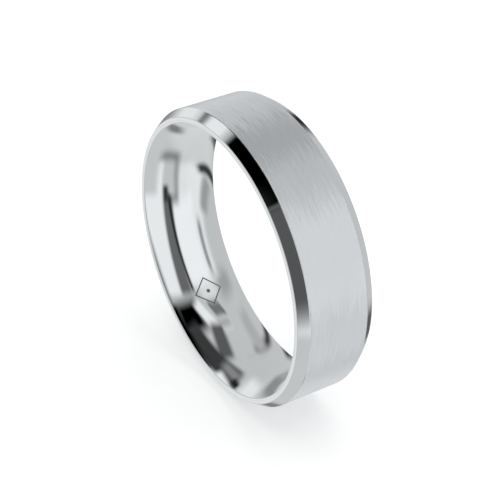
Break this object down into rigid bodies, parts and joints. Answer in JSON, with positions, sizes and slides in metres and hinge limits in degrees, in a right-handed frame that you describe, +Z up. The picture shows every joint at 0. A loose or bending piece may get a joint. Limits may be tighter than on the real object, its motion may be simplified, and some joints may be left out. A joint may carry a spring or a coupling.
{
  "type": "wedding band",
  "caption": "Flat-profile wedding band with a satin brushed outer face, polished bevelled edges and a domed comfort-fit liner.",
  "frame": {"origin": "centre of the finger bore, on the ring's axis, midway between the two side faces", "axes": "+Y along the ring's axis towards the back side face, +Z up with the ring standing on its rim, +X to the right"},
  "size_m": [0.022, 0.006, 0.022],
  "materials": {
    "band_metal": "satin hairlines round the outer face, mirror-polished bevels and side faces",
    "liner_metal": "mirror polished, with a matt engraved lozenge"
  },
  "bodies": {
    "root": {"outer_band": "band_metal", "comfort_liner": "liner_metal"}
  },
  "joints": []
}
